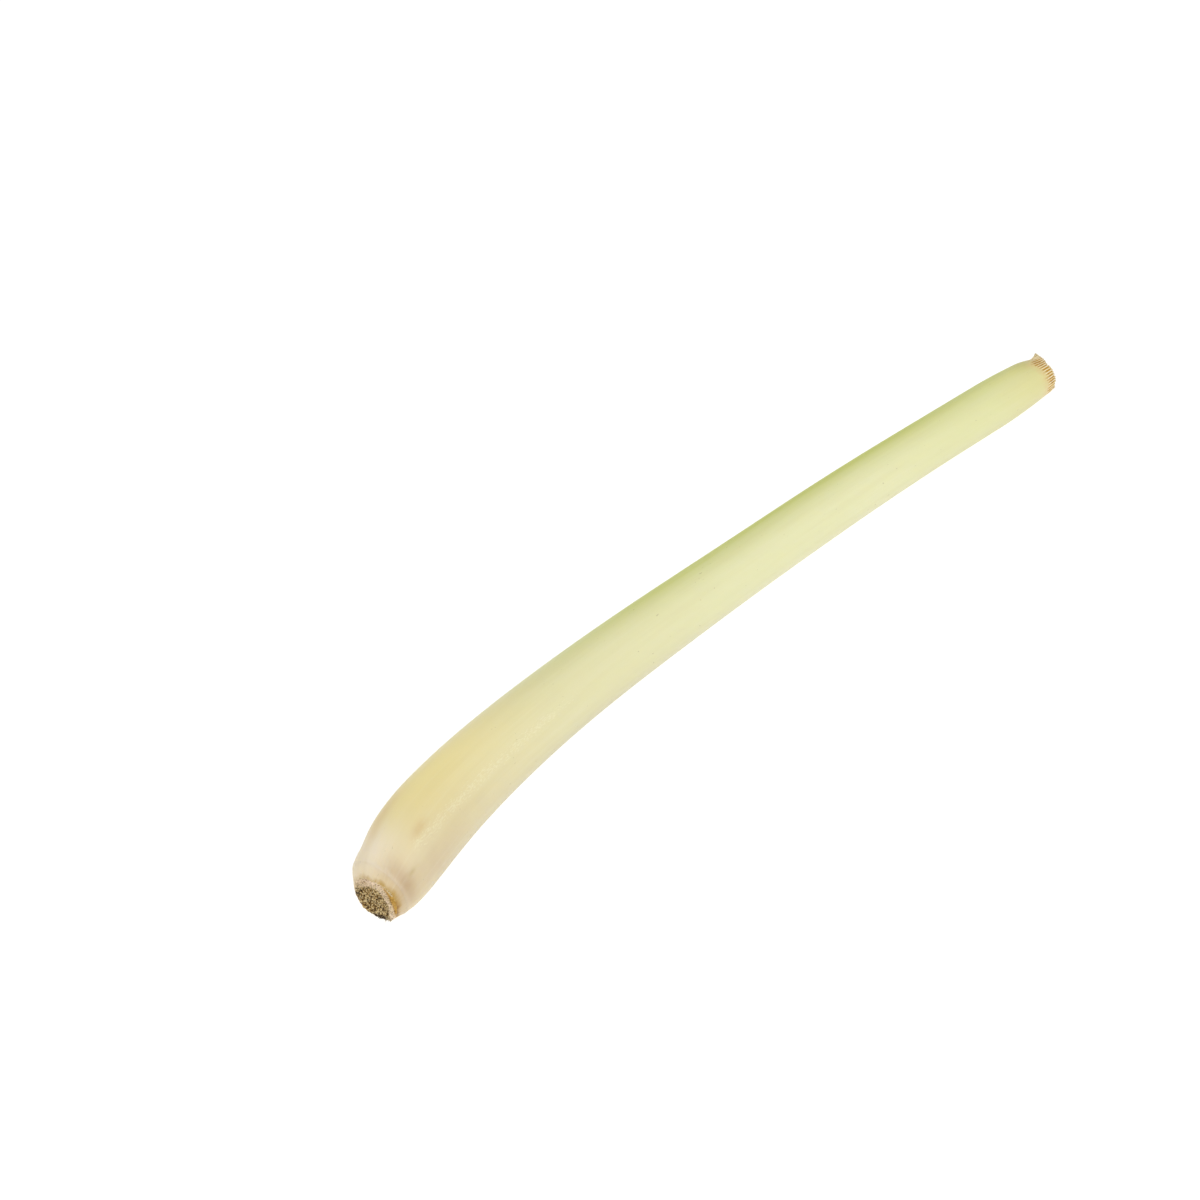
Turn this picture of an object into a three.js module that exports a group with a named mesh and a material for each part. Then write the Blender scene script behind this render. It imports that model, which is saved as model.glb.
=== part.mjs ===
// A lemongrass stalk, trimmed at both ends and lying on its side: a short corky stem, three leaf
// sheaths rolled round it one inside the other, and the rolled heart of young leaves.
// Millimetres, +Z up. The stalk lies along X with its root cut at -X and bows towards +Y.
// The origin is the middle of the stalk's box, at the height of the surface that it lies on.
import * as THREE from 'three';

// Lengths and radii. Every "t" below is a distance along X from the root cut.
const LENGTH = 221.6;
const BUTT_RADIUS = 5.2;
const BUTT_OVAL = 0.47; // the root cut is this much wider and narrower than round
const OVAL_ANGLE = 107; // its long way
const OVAL_RUN = 6;
const BULB_RADIUS = 8.92;
const BULB_AT = 22.1;
const BUTT_ROUNDING = 3.17; // power of the curve from the root cut up to the bulb
const SHAFT_RADIUS = 5.124; // the slim end that the shaft tapers towards
const TAPER_RUN = 110.3;
const TAPER_POWER = 1.124;
const DRY_PINCH = 1.15; // how much the dried top shrinks in radius
const PINCH_LENGTH = 19;

// The bow of the stalk, seen from above: it swings out near the bulb and comes slowly back.
const BOW_OUT = 13.31;
const BOW_RUN = 27.3;
const BOW_BACK = 11.53;
const BOW_POWER = 2.246;

// The underside: three low places, at the bulb, halfway and near the top, are worn flat.
const SINK_MEAN = 0.15;
const SINK_WAVE = 0.17;
const REST_SPACING = 94;
const BUTT_DROP = 0.26; // the root cut hangs this much below the bulb's middle line

// The root cut is oblique, and the node rings follow it until the slant dies out.
const SLANT = 0.288;
const SLANT_END = 24;

// The first node is swollen on one side.
const SWELLING = 1.07;
const SWELLING_AT = 2.4;
const SWELLING_RUN = 2.87;
const SWELLING_ANGLE = 15;

// Leaf sheaths, from the outermost in: the node that each grows from, its thickness, the angle
// of its outer margin, and how far it stops short of the top cut. Leaves alternate, so each seam
// is opposite to the last. Angles go from +Y (0) over the top (90).
const FIT = 0.3; // clearance between one piece and the next
const SHEATHS = [
  { node: 2.6, wallBase: 1.5, wallTop: 0.8, seam: 342, short: 0, sides: 32, steps: 26 },
  { node: 9, wallBase: 1.4, wallTop: 0.72, seam: 160, short: 0.5, sides: 26, steps: 20 },
  { node: 15, wallBase: 1.2, wallTop: 0.7, seam: 345, short: 0.2, sides: 22, steps: 18 },
];
const OVERLAP = 55; // degrees that the two margins of a sheath lie over each other
const SLIT = 0.2; // between the two margins
const MARGIN = 0.25; // thickness of a sheath at its very margin
const MARGIN_TAPER = 15; // degrees over which it thins down to that

// Ragged top cut. On one side the outer sheath has dried to a point that curls outward, and the
// stalk has sunk in below it.
const RAGGED = 0.2;
const FRINGE = 12.5; // the unevenness of the cut builds up over this length
const CORNER_ANGLE = 34;
const CORNER_STEEP_SIDE = 10; // degrees that it falls away over, down to the far side
const CORNER_SLOW_SIDE = 53; // and over the top
const CORNER_RISE = 1.61;
const CORNER_CURL = 0.81;
const CURL_LENGTH = 1.2;
const DENT = 0.68;
const DENT_START = 6.4; // both below the cut
const DENT_DEEPEST = 0.4;

const STEM_TOP = 45;
const STEM_SIDES = 32;
const NODE_RIDGE = 0.14;
const NODE_RIDGE_AT = 0.5; // below the first node
const BUTT_DISH = 0.35; // hollow of the root cut

const HEART_SIDES = 20;
const HEART_STEPS = 16;
const HEART_LAP = 0.22; // step where the outermost young leaf laps over itself
const HEART_SEAM = 150;
const HEART_DISH = 0.5;
const HEART_SHORT = 0.9;

// Middle of the stalk's box, in its own X and Y.
const MIDDLE = new THREE.Vector3(111.5, 6.85, 0);

const rad = THREE.MathUtils.degToRad;
const { lerp, smoothstep } = THREE.MathUtils;

function aside(t) {
  return BOW_OUT * (1 - Math.exp(-t / BOW_RUN)) - BOW_BACK * (Math.max(0, t) / LENGTH) ** BOW_POWER;
}

function asideSlope(t) {
  const back = (Math.max(0, t) / LENGTH) ** (BOW_POWER - 1);
  return (BOW_OUT / BOW_RUN) * Math.exp(-t / BOW_RUN) - (BOW_POWER * BOW_BACK * back) / LENGTH;
}

function plumpRadius(t) {
  if (t < BULB_AT) {
    return BULB_RADIUS - (BULB_RADIUS - BUTT_RADIUS) * (1 - t / BULB_AT) ** BUTT_ROUNDING;
  }
  const fall = Math.exp(-(((t - BULB_AT) / TAPER_RUN) ** TAPER_POWER));
  return SHAFT_RADIUS + (BULB_RADIUS - SHAFT_RADIUS) * fall;
}

function stalkRadius(t) {
  const dried = Math.max(0, 1 - (LENGTH - t) / PINCH_LENGTH);
  return plumpRadius(t) - DRY_PINCH * dried ** 2;
}

function middleHeight(t) {
  const sink = SINK_MEAN + SINK_WAVE * Math.cos((2 * Math.PI * (t - BULB_AT)) / REST_SPACING);
  const drop = BUTT_DROP * Math.max(0, 1 - t / BULB_AT) ** 2;
  return plumpRadius(Math.max(t, BULB_AT)) - sink - drop;
}

// From 0 to 1: how squarely an angle faces another.
function facing(angle, middle) {
  return Math.max(0, Math.cos(rad(angle - middle)));
}

// How far the skin stands out from its roundness: an oval root cut, the swollen first node, and
// the dent at the top.
function unevenness(t, angle) {
  const oval = BUTT_OVAL * Math.max(0, 1 - t / OVAL_RUN) ** 2 * Math.cos(2 * rad(angle - OVAL_ANGLE));
  const swollen = SWELLING * Math.exp(-(((t - SWELLING_AT) / SWELLING_RUN) ** 2));
  const dented = DENT * smoothstep(t, LENGTH - DENT_START, LENGTH - DENT_DEEPEST);
  return oval + swollen * facing(angle, SWELLING_ANGLE) ** 2 - dented * facing(angle, CORNER_ANGLE);
}

// The point at a radius and an angle round the middle line. Nothing reaches below the surface.
function onStalk(t, radius, angle) {
  const across = radius * Math.cos(rad(angle));
  const slant = SLANT * (1 - smoothstep(t, SHEATHS[0].node, SLANT_END));
  const along = t + slant * across;
  const slope = asideSlope(along);
  const unit = 1 / Math.hypot(1, slope);
  const height = middleHeight(along) + radius * Math.sin(rad(angle));
  return new THREE.Vector3(along - across * slope * unit, aside(along) + across * unit, Math.max(0, height));
}

function wallAt(sheath, t) {
  return lerp(sheath.wallBase, sheath.wallTop, t / LENGTH);
}

// Radius left inside the first "count" sheaths.
function radiusInside(count, t) {
  return SHEATHS.slice(0, count).reduce((left, sheath) => left - wallAt(sheath, t) - FIT, stalkRadius(t));
}

// Distances from "from" to "to", closer together near both ends.
function stations(from, to, steps) {
  const ends = 0.8;
  return Array.from({ length: steps + 1 }, (_, k) => {
    const even = k / steps;
    const eased = (1 - Math.cos(Math.PI * even)) / 2;
    return lerp(from, to, lerp(even, eased, ends));
  });
}

function toGeometry(points, triangles) {
  const geometry = new THREE.BufferGeometry().setFromPoints(points);
  geometry.setIndex(triangles);
  geometry.computeVertexNormals();
  return geometry;
}

// Triangles of the skin that joins each loop of "size" points to the next.
function skin(loops, size, first = 0) {
  const triangles = [];
  for (let k = 0; k < loops - 1; k++) {
    for (let j = 0; j < size; j++) {
      const next = (j + 1) % size;
      const [a, b] = [first + k * size + j, first + k * size + next];
      triangles.push(a, b, b + size, a, b + size, a + size);
    }
  }
  return triangles;
}

// A solid through round loops of points, closed by a single point at either end.
function closedRod(startPoint, loops, endPoint) {
  const size = loops[0].length;
  const triangles = skin(loops.length, size, 1);
  const last = 1 + loops.length * size;
  for (let j = 0; j < size; j++) {
    const next = (j + 1) % size;
    triangles.push(0, 1 + next, 1 + j);
    triangles.push(last, last - size + j, last - size + next);
  }
  return toGeometry([startPoint, ...loops.flat(), endPoint], triangles);
}

function roundLoop(sides, pointAt) {
  return Array.from({ length: sides }, (_, j) => pointAt((360 * j) / sides));
}

// ---- A rolled leaf sheath ----

// Angles across the rolled strip, from its inner margin (0) to its outer one (360 + OVERLAP).
function stripAngles(sides, edge) {
  const lap = OVERLAP;
  const corners = [0, lap, lap + edge, lap + 2 * edge, 360 - 2 * edge, 360 - edge, 360, 360 + lap];
  const angles = [0];
  corners.slice(1).forEach((corner, k) => {
    const pieces = Math.ceil(((corner - corners[k]) * sides) / 360 - 0.3);
    for (let j = 1; j <= pieces; j++) {
      angles.push(lerp(corners[k], corner, j / pieces));
    }
  });
  return angles;
}

// How far the outer and inner faces of the strip lie below its roundness.
function stripDepths(angle, wall, edge) {
  const flap = (wall - SLIT) / 2;
  const underLap = wall - lerp(MARGIN, flap, smoothstep(angle, 0, MARGIN_TAPER));
  const rise = THREE.MathUtils.clamp((angle - OVERLAP - edge) / edge, 0, 1);
  const fromMargin = 360 + OVERLAP - angle;
  const overLap = lerp(MARGIN, flap, smoothstep(fromMargin, 0, MARGIN_TAPER));
  const thin = THREE.MathUtils.clamp((angle - 360 + 2 * edge) / edge, 0, 1);
  return { outer: lerp(underLap, 0, rise), inner: lerp(wall, overLap, thin) };
}

function raggedness(angle, layer) {
  const turn = rad(angle) + 1.7 * layer;
  return RAGGED * (Math.sin(2 * turn) + 0.6 * Math.sin(5 * turn + 1) + 0.35 * Math.sin(9 * turn));
}

// The dried point at the outer sheath's top: 1 at its tip, 0 away from it.
function cornerAt(angle) {
  const away = THREE.MathUtils.euclideanModulo(angle - CORNER_ANGLE + 180, 360) - 180;
  const reach = away < 0 ? CORNER_STEEP_SIDE : CORNER_SLOW_SIDE;
  return Math.max(0, 1 - Math.abs(away) / reach) ** 1.5;
}

function sheathPoint(layer, t, depth, angle) {
  const nearTop = smoothstep(t, LENGTH - FRINGE, LENGTH);
  const corner = layer === 0 ? cornerAt(angle) * nearTop : 0;
  const curl = CORNER_CURL * corner * smoothstep(t, LENGTH - CURL_LENGTH, LENGTH);
  const radius = radiusInside(layer, t) - depth + unevenness(t, angle) + curl;
  return onStalk(t + raggedness(angle, layer) * nearTop + CORNER_RISE * corner, radius, angle);
}

function sheathGeometry(layer) {
  const sheath = SHEATHS[layer];
  const top = LENGTH - sheath.short;
  const edge = THREE.MathUtils.radToDeg(FIT / radiusInside(layer, top));
  const angles = stripAngles(sheath.sides, edge);
  const inward = [...angles].reverse();
  const firstAngle = sheath.seam - OVERLAP;
  const along = [...stations(sheath.node + FIT, top - CURL_LENGTH, sheath.steps - 1), top];
  const loops = along.map((t) => {
    const at = (angle, face) => {
      const depth = stripDepths(angle, wallAt(sheath, t), edge)[face];
      return sheathPoint(layer, t, depth, firstAngle + angle);
    };
    return [...angles.map((angle) => at(angle, 'outer')), ...inward.map((angle) => at(angle, 'inner'))];
  });
  const size = 2 * angles.length;
  const triangles = skin(loops.length, size);
  const last = (loops.length - 1) * size;
  for (let j = 0; j < angles.length - 1; j++) {
    const [inner, innerNext] = [size - 1 - j, size - 2 - j];
    triangles.push(j, innerNext, j + 1, j, inner, innerNext);
    triangles.push(last + j, last + j + 1, last + innerNext, last + j, last + innerNext, last + inner);
  }
  return toGeometry(loops.flat(), triangles);
}

// ---- The corky stem ----

function buttPoint(share, angle) {
  const turn = rad(angle);
  const rough = 0.1 * Math.sin(3 * turn + 1) + 0.08 * Math.sin(7 * turn + 4 * share);
  const t = BUTT_DISH * (1 - share ** 2) + rough * share * (1 - share ** 6);
  return onStalk(t, (BUTT_RADIUS + unevenness(0, angle)) * share, angle);
}

// The stem steps in at every node, where a sheath grows from it.
function stemStations() {
  const nodes = SHEATHS.map((sheath) => sheath.node);
  const band = [0.3, 0.9, 1.5].map((t) => [t, stalkRadius(t)]);
  const ring = nodes[0] - NODE_RIDGE_AT;
  const ridge = [[ring, stalkRadius(ring) + NODE_RIDGE], [nodes[0], stalkRadius(nodes[0])]];
  const inner = nodes.flatMap((node, k) => {
    const end = nodes[k + 1] ?? STEM_TOP;
    return stations(node, end, k === nodes.length - 1 ? 7 : 3).map((t) => [t, radiusInside(k + 1, t)]);
  });
  return [...band, ...ridge, ...inner];
}

function stemGeometry() {
  const face = [0.3, 0.6, 0.85, 1].map((share) =>
    roundLoop(STEM_SIDES, (angle) => buttPoint(share, angle)),
  );
  const sides = stemStations().map(([t, radius]) =>
    roundLoop(STEM_SIDES, (angle) => onStalk(t, radius + unevenness(t, angle), angle)),
  );
  return closedRod(buttPoint(0, 0), [...face, ...sides], onStalk(STEM_TOP, 0, 0));
}

// ---- The rolled heart ----

function heartGeometry() {
  const top = LENGTH - HEART_SHORT;
  const point = (t, share, angle) => {
    const unrolled = THREE.MathUtils.euclideanModulo(angle - HEART_SEAM, 360) / 360;
    const radius = radiusInside(SHEATHS.length, t) - HEART_LAP * unrolled;
    return onStalk(t, (radius + unevenness(t, angle)) * share, angle);
  };
  const sides = stations(STEM_TOP + FIT, top, HEART_STEPS).map((t) =>
    roundLoop(HEART_SIDES, (angle) => point(t, 1, angle)),
  );
  const cut = [0.66, 0.33].map((share) =>
    roundLoop(HEART_SIDES, (angle) => point(top - HEART_DISH * (1 - share), share, angle)),
  );
  return closedRod(onStalk(STEM_TOP + FIT, 0, 0), [...sides, ...cut], onStalk(top - HEART_DISH, 0, 0));
}

// ---- The stalk ----

function piece(name, geometry, color, roughness) {
  const mesh = new THREE.Mesh(geometry, new THREE.MeshStandardMaterial({ color, roughness, metalness: 0 }));
  mesh.name = name;
  return mesh;
}

const stalk = new THREE.Group();
stalk.add(piece('basal_stem', stemGeometry(), 0xdcc49c, 0.75));
stalk.add(piece('outer_sheath', sheathGeometry(0), 0xe3dfb0, 0.45));
stalk.add(piece('second_sheath', sheathGeometry(1), 0xe8e4bc, 0.5));
stalk.add(piece('third_sheath', sheathGeometry(2), 0xece8c6, 0.5));
stalk.add(piece('heart', heartGeometry(), 0xe6e2a8, 0.55));
stalk.position.copy(MIDDLE).negate();

export default stalk;
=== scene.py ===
"""A trimmed lemongrass stalk lying on its side, dressed for rendering.

The stalk is laid out in millimetres along a straight line first: t is the distance from the root
cut, and angle turns round the line from the +Y side (0) over the top (90). on_stalk() then bends
that layout into the real bow and puts it on the surface that it lies on.
"""
import math
import random

import bpy
import numpy as np
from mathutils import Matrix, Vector, noise


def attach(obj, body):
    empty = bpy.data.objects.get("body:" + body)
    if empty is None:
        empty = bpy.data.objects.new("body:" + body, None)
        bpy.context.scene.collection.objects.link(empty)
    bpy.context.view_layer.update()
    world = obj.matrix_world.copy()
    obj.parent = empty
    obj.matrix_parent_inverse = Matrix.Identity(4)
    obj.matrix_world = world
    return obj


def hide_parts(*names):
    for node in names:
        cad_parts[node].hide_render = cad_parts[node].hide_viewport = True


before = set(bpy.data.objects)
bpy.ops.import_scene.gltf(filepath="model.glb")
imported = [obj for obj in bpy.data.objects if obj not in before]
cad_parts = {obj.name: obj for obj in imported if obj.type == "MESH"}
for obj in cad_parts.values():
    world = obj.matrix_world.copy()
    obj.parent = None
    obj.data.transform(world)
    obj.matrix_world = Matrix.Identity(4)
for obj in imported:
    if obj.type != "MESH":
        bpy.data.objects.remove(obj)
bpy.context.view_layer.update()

MM = 0.001

# ---------------------------------------------------------------- form of the stalk, mm and degrees

LENGTH = 221.6

# Thickness: the root cut, the bulb, the taper to the shaft, and the dried top drawn in.
BUTT_RADIUS = 5.2
BUTT_ROUNDING = 3.17
BULB_RADIUS = 8.92
BULB_AT = 22.1
SHAFT_RADIUS = 5.124
TAPER_RUN = 110.3
TAPER_POWER = 1.124
DRY_PINCH = 1.15
PINCH_LENGTH = 19.0

# The root cut is oval and slanted, and the first node above it is swollen on one side.
BUTT_OVAL = 0.47
OVAL_ANGLE = 107.0
OVAL_RUN = 6.0
SLANT = 0.288
SLANT_END = 24.0
SWELLING = 1.07
SWELLING_AT = 2.4
SWELLING_RUN = 2.87
SWELLING_ANGLE = 15.0

# The bow of the middle line, how far the underside settles, and where the part's origin is.
BOW_OUT = 13.31
BOW_RUN = 27.3
BOW_BACK = 11.53
BOW_POWER = 2.246
SINK_MEAN = 0.15
SINK_WAVE = 0.17
REST_SPACING = 94.0
BUTT_DROP = 0.26
MIDDLE = (111.5, 6.85)

# Leaf sheaths from the outermost in: their node, their thickness at either end, the angle of
# their seam, and how far they end short of the top.
SHEATHS = [
    {"name": "outer_sheath", "node": 2.6, "base": 1.5, "top": 0.8, "seam": 342, "short": 0.0},
    {"name": "second_sheath", "node": 9.0, "base": 1.4, "top": 0.72, "seam": 160, "short": 0.5},
    {"name": "third_sheath", "node": 15.0, "base": 1.2, "top": 0.7, "seam": 345, "short": 0.2},
]
FIT = 0.3  # between one sheath and the next
OVERLAP = 55.0  # of a sheath's two margins
SLIT = 0.08  # between them
MARGIN = 0.15  # their thickness at the edge
MARGIN_TAPER = 15.0

# The top cut is ragged, with one raised and curled corner and a dent beside it.
RAGGED = 0.2
FRINGE = 12.5
CORNER_ANGLE = 34.0
CORNER_STEEP_SIDE = 10.0
CORNER_SLOW_SIDE = 53.0
CORNER_RISE = 1.45
CORNER_CURL = 1.2  # dry and thin, it curls further out than its solid form does
CURL_LENGTH = 2.2
DENT = 0.68
DENT_START = 6.4
DENT_DEEPEST = 0.4

# The stem's core goes up inside the sheaths, and the rolled heart stands on it.
STEM_TOP = 45.0
HEART_SEAM = 150.0
HEART_LAP = 0.22
HEART_SHORT = 0.9
HEART_DISH = 0.5

# Fine form that only the dressed stalk has.
NODE = SHEATHS[0]["node"]
NODE_TUCK = 0.3  # the outer sheath starts this far below its node, flush with the stem
NODE_SWELL = 0.07  # the node stands this proud
VEINS_AT_TOP = 43  # ribs round the dried end, drawn a little coarser than the real ones
RIB_HEIGHT = 0.07
RIB_SINK = 0.05  # dried tissue has shrunk this much
DRY_BAND = 3.0  # how far the top has dried brown
HEART_TURNS = 2.6  # how often the youngest leaf is rolled round
STUBS = 900  # torn bundle ends on the root cut
TUFT = 14  # and longer ones in a tuft at its foot
TUFT_ANGLE = 232.0
HAIRS = 60  # frayed skin round the near rim of the cut
BURNT_ANGLE = 262.0  # the rim is dark and broken away here
SKIN_STEP = 0.01  # the outer sheath stands this proud of the stem's own skin
PATTERN_RADIUS = 7.0  # patterns are drawn on a stalk of this even radius: veins close up with it

# How finely the meshes are drawn.
CAP_STEPS = 4  # rows across the wall of a cut end
CUT_SIDES = 320
CUT_ROWS = 72
BAND_ROWS = 30
HEART_SIDES = 120


def smooth(v, low, high):
    """A soft step from 0 at low to 1 at high. It may also run down, from a higher low."""
    x = np.clip((v - low) / (high - low), 0, 1)
    return x * x * (3 - 2 * x)


def mix(a, b, share):
    """From a at share 0 to b at share 1."""
    return a + (b - a) * share


def hump(away, width):
    """1 in the middle, fading out to either side."""
    return np.exp(-((away / width) ** 2))


def turned(angle, middle):
    """Degrees from one angle to another, the short way round."""
    return (angle - middle + 180) % 360 - 180


def facing(angle, middle):
    """From 0 to 1: how squarely an angle faces another."""
    return np.clip(np.cos(np.radians(angle - middle)), 0, None)


def aside(t):
    """How far the middle line bows to the +Y side."""
    back = (np.maximum(0, t) / LENGTH) ** BOW_POWER
    return BOW_OUT * (1 - np.exp(-t / BOW_RUN)) - BOW_BACK * back


def aside_slope(t):
    back = (np.maximum(0, t) / LENGTH) ** (BOW_POWER - 1)
    return BOW_OUT / BOW_RUN * np.exp(-t / BOW_RUN) - BOW_POWER * BOW_BACK * back / LENGTH


def plump_radius(t):
    """The radius of the fresh stalk, before its top dried and drew in."""
    near_butt = np.clip(1 - t / BULB_AT, 0, None) ** BUTT_ROUNDING
    bulb = BULB_RADIUS - (BULB_RADIUS - BUTT_RADIUS) * near_butt
    fall = np.exp(-(np.clip((t - BULB_AT) / TAPER_RUN, 0, None) ** TAPER_POWER))
    return np.where(t < BULB_AT, bulb, SHAFT_RADIUS + (BULB_RADIUS - SHAFT_RADIUS) * fall)


def stalk_radius(t):
    dried = np.clip(1 - (LENGTH - t) / PINCH_LENGTH, 0, None)
    return plump_radius(t) - DRY_PINCH * dried**2


def unevenness(t, angle):
    """The oval root cut, the swollen first node, and the dent at the top."""
    near_cut = np.clip(1 - t / OVAL_RUN, 0, None) ** 2
    oval = BUTT_OVAL * near_cut * np.cos(2 * np.radians(angle - OVAL_ANGLE))
    swollen = SWELLING * hump(t - SWELLING_AT, SWELLING_RUN) * facing(angle, SWELLING_ANGLE) ** 2
    sunken = smooth(t, LENGTH - DENT_START, LENGTH - DENT_DEEPEST)
    dented = DENT * sunken * facing(angle, CORNER_ANGLE)
    return oval + swollen - dented


def node_ridge(t):
    """The first node is a low ridge with a shallow hollow above it."""
    return NODE_SWELL * hump(t - NODE, 0.4) - 0.5 * NODE_SWELL * hump(t - NODE - 1.2, 0.7)


def flutes(t, angle):
    """A stalk isn't turned on a lathe: slow flutes wander along it."""
    turn = np.radians(angle)
    slow = 0.055 * np.sin(3 * turn + t / 38 - 2.65) + 0.035 * np.sin(5 * turn - t / 27 + 3.4)
    return slow + 0.03 * np.sin(8 * turn + t / 60 - 0.45) + 0.03 * np.sin(t / 9.5 + 2 * turn + 3)


def middle_height(t):
    """The middle line's height over the surface: the stalk rests on it at three low places."""
    sink = SINK_MEAN + SINK_WAVE * np.cos(2 * np.pi * (t - BULB_AT) / REST_SPACING)
    drop = BUTT_DROP * np.clip(1 - t / BULB_AT, 0, None) ** 2
    return plump_radius(np.maximum(t, BULB_AT)) - sink - drop


def on_stalk(t, radius, angle):
    """Points in metres, in the part's frame, at a radius and angle round the bowed middle line."""
    turn = np.radians(angle)
    across = radius * np.cos(turn)
    along = t + SLANT * (1 - smooth(t, NODE, SLANT_END)) * across
    slope = aside_slope(along)
    unit = 1 / np.hypot(1, slope)
    height = np.maximum(0, middle_height(along) + radius * np.sin(turn))
    x = along - across * slope * unit - MIDDLE[0]
    y = aside(along) + across * unit - MIDDLE[1]
    return np.stack(np.broadcast_arrays(x, y, height), -1) * MM


def straight(t, radius, angle):
    """The same points before bending, in millimetres."""
    turn = np.radians(angle)
    return np.stack(np.broadcast_arrays(t, radius * np.cos(turn), radius * np.sin(turn)), -1)


def pattern_place(t, radius, angle):
    """Where a point lies on a straight stalk of even radius: patterns follow that."""
    return straight(t, PATTERN_RADIUS * radius / stalk_radius(t), angle)


def wall_at(sheath, t):
    return mix(sheath["base"], sheath["top"], t / LENGTH)


def radius_inside(count, t):
    """The room left inside so many sheaths."""
    radius = stalk_radius(t)
    for sheath in SHEATHS[:count]:
        radius = radius - wall_at(sheath, t) - FIT
    return radius


def field(points, scale, seed):
    """Smooth noise from -1 to 1 at points in mm; scale is the size of its lumps in mm."""
    shift = Vector((seed * 7.3, seed * 3.1, seed * 5.7))
    flat = points.reshape(-1, 3)
    values = np.array([noise.noise(Vector(p) + shift) for p in (flat / scale).tolist()])
    return values.reshape(points.shape[:-1])


# ---------------------------------------------------------------- colours


def linear(colour):
    """An sRGB hex value as linear red, green, blue and alpha."""
    parts = [int(colour[i : i + 2], 16) / 255 for i in (0, 2, 4)]
    return [c / 12.92 if c <= 0.04045 else ((c + 0.055) / 1.055) ** 2.4 for c in parts] + [1.0]


def coated(shape, colour):
    """One colour at every point."""
    return np.ones((*shape, 4)) * linear(colour)


def washed(tint, share, colour):
    """A wash of colour over tints, each share from 0 to 1."""
    return mix(tint, np.array(linear(colour)), np.asarray(share)[..., None])


# Living skin, by the distance from the root cut.
SKIN_STOPS = [
    (0.0, "dec9a2"),
    (10.0, "e6d7ac"),
    (20.0, "e6d7a4"),
    (34.0, "ebe0ae"),
    (60.0, "e9e3b4"),
    (110.0, "ebe9b8"),
    (160.0, "edebba"),
    (200.0, "e8e7ac"),
    (221.6, "e6dd9c"),
]
GREENER_AND_SHADED_ANGLE = -10.0  # the +Y side is yellow-green: partly its own colour, partly painted shade and a painted green reflection

# Soft patches on the bulb, some of them painted highlight or painted shade: middle along and run in
# mm, middle round and width in degrees, how strong, how much of that is mottled, and the colour.
PATCHES = [
    (4.8, 5.8, 63, 42, 0.85, 0.0, "f9ebd2"),  # painted highlight above the node
    (20.0, 20.0, 176, 46, 0.36, 1.0, "d8c9ae"),  # greyish flank
    (12.0, 7.0, 166, 26, 0.4, 1.0, "cfb594"),  # pinkish flank
    (12.0, 8.0, 47, 14, 0.5, 0.0, "d6b36c"),  # golden painted shade along the +Y edge
    (3.8, 2.2, 140, 41, 0.76, 0.4, "c1a480"),  # pinkish painted shade in the hollow beside the node
    (NODE, 0.6, 110, 60, 0.25, 0.0, "f0dcc4"),  # the node's ridge: pale pink, partly its own colour, partly painted highlight
    (13.5, 2.2, 112, 6.5, 0.42, 0.0, "d2aa6a"),  # bruise
    (6.4, 1.2, 138.5, 3.2, 0.42, 0.0, "b0944c"),  # scratch
]


def skin_tint(t, angle):
    """Pale cream at the bulb, turning to light yellow-green up the shaft, greener towards the +Y
    side, partly by painted shade and a painted green reflection. Painted shade darkens its lower
    side. The bulb has painted highlights, golden and pinkish painted shade, and pinkish and greyish
    flushes."""
    stops = [place for place, _ in SKIN_STOPS]
    channels = zip(*[linear(colour) for _, colour in SKIN_STOPS])
    tint = np.stack([np.interp(t, stops, channel) for channel in channels], -1)
    mottled = 1 + 0.5 * field(straight(t, PATTERN_RADIUS, angle), 3.0, 13)
    # Greener towards the +Y side up the shaft: partly its own colour, partly painted shade and a
    # painted green reflection.
    greener_and_shaded = np.clip(3.2 * np.clip(1 - np.abs(turned(angle, GREENER_AND_SHADED_ANGLE)) / 140, 0, 1) ** 2, 0, 0.9)
    tint = washed(tint, greener_and_shaded * np.interp(t, [40, 100, 175, 212], [0, 0.7, 1, 0.6]), "d3d963")
    # Deeper yellow-green along the +Y edge: partly its own colour, partly painted shade and a
    # painted green reflection.
    tint = washed(tint, 0.45 * hump(turned(angle, 50), 20) * smooth(t, 55, 100), "bcc444")
    # A painted highlight on the upper side of the bulb.
    tint = washed(tint, 0.75 * hump(turned(angle, 65), 48) * hump(t - 27, 20), "f8e69e")
    # Painted shade on the lower side, fading out up the shaft.
    painted_underside_shade = hump(turned(angle, 210), 35) * smooth(t, 4, 15) * (1 - 0.5 * smooth(t, 65, 125))
    tint = washed(tint, 0.62 * painted_underside_shade, "bfb595")
    for along, run, middle, width, strength, unevenly, colour in PATCHES:
        patch = hump(turned(angle, middle), width) * hump(t - along, run)
        tint = washed(tint, strength * mix(1, mottled, unevenly) * patch, colour)
    return tint


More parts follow.
